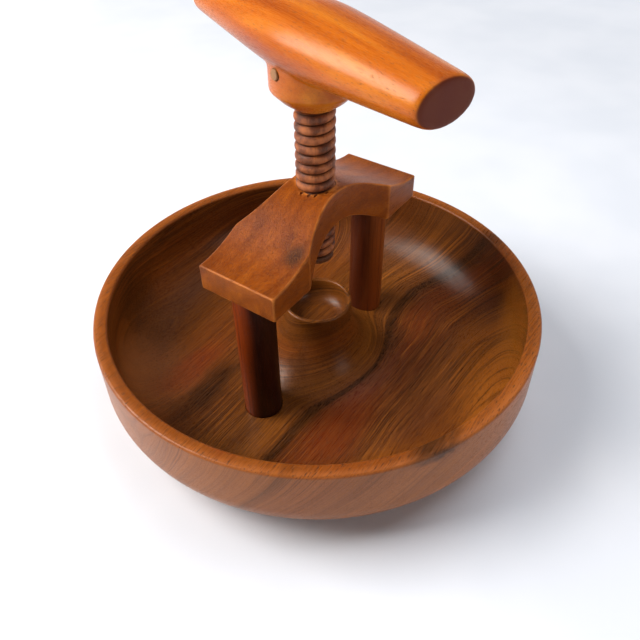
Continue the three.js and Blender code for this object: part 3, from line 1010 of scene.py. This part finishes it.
def along_pin(shader, place):
    """Lays the cross pin's grain on X."""
    return shader.turned(place, -math.degrees(HANDLE_TURN) - 90)


def steel():
    metal = Shader("steel")
    scratch = metal.noise(metal.stretched(metal.place(), 0.3, 6, 0.3), 3, 0.6)
    base = metal.mix(metal.spread(scratch, 0.3, 0.7), colour("6d6b68"), "a3a19d")
    rough = metal.spread(scratch, 0.3, 0.7, 0.28, 0.45)
    return metal.finish(base, rough, metal.bump(scratch, 0.02), metallic=1.0)


# ---- the assembly ----
def dress(piece, node, body, material):
    """Puts the piece in a CAD node's place, on its body and with the given finish."""
    piece.data.materials.clear()
    piece.data.materials.append(material)
    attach(piece, body)
    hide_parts(node)


# The posts' lighter wood faces one of these ways. On the rear post the darker left-back side is
# painted shade.
LEFT_BACK = (-0.62, 0.78, 0)
RIGHT_FRONT = (0.62, -0.78, 0)
front_wood = post_wood("front_post_wood", -POST_X, ("140502", "260a04", "7e3008"), LEFT_BACK, 3.5)
rear_wood_and_shade = post_wood("rear_post_wood_and_shade", POST_X, ("381206", "4c1e0a", "944a1c"), RIGHT_FRONT, -1)
handle_wood = plain_wood(
    "handle_wood",
    along_bar,
    ("963e08", "bc5e12", "d07a20"),
    low=0.22,
    high=0.34,
    specular=0.18,
    end=HANDLE_LENGTH / 2,
)
foot_wood = plain_wood(
    "foot_wood", upright, ("3a1c0e", "5a3018", "724426"), low=0.45, high=0.6, coat=0.0
)
pin_wood = plain_wood("pin_wood", along_pin, ("6e4420", "8a5a30", "a5733f"), low=0.4, high=0.55)
steel_finish = steel()
wood_screws = [
    ("front_screw_slotted", "front_post_screw", -POST_X),
    ("rear_screw_slotted", "rear_post_screw", POST_X),
]

dress(bowl(), "bowl", "frame", bowl_wood())
dress(post("front_post_turned", -POST_X), "front_post", "frame", front_wood)
dress(post("rear_post_turned", POST_X), "rear_post", "frame", rear_wood_and_shade)
for name, node, x in wood_screws:
    dress(wood_screw(name, x), node, "frame", steel_finish)
dress(bridge(), "bridge", "frame", bridge_wood())
dress(pressure_foot(), "pressure_foot", "foot", foot_wood)
dress(press_screw(), "press_screw", "screw", screw_wood())
dress(handle(), "handle", "screw", handle_wood)
dress(handle_pin(), "handle_pin", "screw", pin_wood)


# ---- the stage ----
VIEW_TURN = math.radians(-54.2)  # the view's forward direction, from +Y about +Z


def from_view(right, forward, up):
    """A point given by the view's directions about the middle of the base, in metres."""
    return Matrix.Rotation(VIEW_TURN, 3, "Z") @ Vector((right, forward, up))


def camera():
    """The product view, set by its angles in radians and its place in metres."""
    pitch, yaw, roll = 0.7545, 0.0049, -0.0112
    ahead = from_view(
        math.sin(yaw) * math.cos(pitch), math.cos(yaw) * math.cos(pitch), -math.sin(pitch)
    )
    side = ahead.cross(Vector((0, 0, 1))).normalized()
    top = side.cross(ahead)
    right = side * math.cos(roll) + top * math.sin(roll)
    above = top * math.cos(roll) - side * math.sin(roll)
    data = bpy.data.cameras.new("camera")
    data.sensor_width = 36
    data.lens = 36.46
    data.clip_start = 0.01
    eye = bpy.data.objects.new("camera", data)
    facing = Matrix((right, above, -ahead)).transposed().to_4x4()
    eye.matrix_world = Matrix.Translation(from_view(0, -0.2823, 0.3017)) @ facing
    bpy.context.scene.collection.objects.link(eye)
    bpy.context.scene.camera = eye


def softbox(name, place, size, power, tint, mirrored=True):
    """A lamp that faces the middle of the object, and may stay out of its reflections."""
    data = bpy.data.lights.new(name, "AREA")
    data.shape = "RECTANGLE"
    data.size, data.size_y = size
    data.energy = power
    data.color = tint
    lamp = bpy.data.objects.new(name, data)
    lamp.location = place
    facing = Vector((0, 0, 0.05)) - place
    lamp.rotation_mode = "QUATERNION"
    lamp.rotation_quaternion = facing.to_track_quat("-Z", "Y")
    lamp.visible_glossy = mirrored
    bpy.context.scene.collection.objects.link(lamp)


def surroundings():
    """A pale backdrop that fades into a dim room overhead."""
    world = bpy.data.worlds.new("studio")
    world.use_nodes = True
    tree = world.node_tree
    direction = tree.nodes.new("ShaderNodeTexCoord").outputs["Generated"]
    height = tree.nodes.new("ShaderNodeSeparateXYZ")
    tree.links.new(direction, height.inputs[0])
    fade = tree.nodes.new("ShaderNodeValToRGB")
    tree.links.new(height.outputs["Z"], fade.inputs[0])
    elements = fade.color_ramp.elements
    elements[0].position, elements[0].color = 0.06, (0.78, 0.79, 0.82, 1)
    elements[1].position, elements[1].color = 1.0, (0.07, 0.07, 0.07, 1)
    elements.new(0.28).color = (0.12, 0.12, 0.12, 1)
    tree.links.new(fade.outputs["Color"], tree.nodes["Background"].inputs["Color"])
    bpy.context.scene.world = world


def floor():
    """A pale worktop that brightens far off into the backdrop, so that no horizon shows."""
    reach = 3000
    corners = [(-reach, -reach, 0), (reach, -reach, 0), (reach, reach, 0), (-reach, reach, 0)]
    plane = add_mesh("floor", corners, [(0, 1, 2, 3)])
    white = Shader("floor_white")
    place = white.place()
    cloud = white.noise(white.stretched(place, 90, 90, 90), 2, 0.5)
    base = white.mix(white.spread(cloud, 0.3, 0.7), colour("dfe3ec"), "e6e9f1")
    plane.data.materials.append(white.finish(base, 0.55, white.bump(cloud, 0.05)))
    glow = white.spread(white.length(place), 450, 1600, 0.0, 0.7)
    surface = next(node for node in white.tree.nodes if node.type == "BSDF_PRINCIPLED")
    surface.inputs["Emission Color"].default_value = colour("e6e8ee")
    white.tree.links.new(glow, surface.inputs["Emission Strength"])


camera()
floor()
surroundings()
softbox("key", from_view(-0.95, 0.0, 0.95), (0.8, 0.8), 26, (1.0, 0.97, 0.92))
fill_place = from_view(0.6, 0.35, 1.45)
softbox("fill", fill_place, (1.2, 1.2), 14, (0.94, 0.97, 1.0), mirrored=False)
softbox("side", from_view(0.9, -0.7, 0.62), (0.32, 0.45), 1.6, (1.0, 0.98, 0.95))
bpy.context.scene.view_settings.view_transform = "Standard"
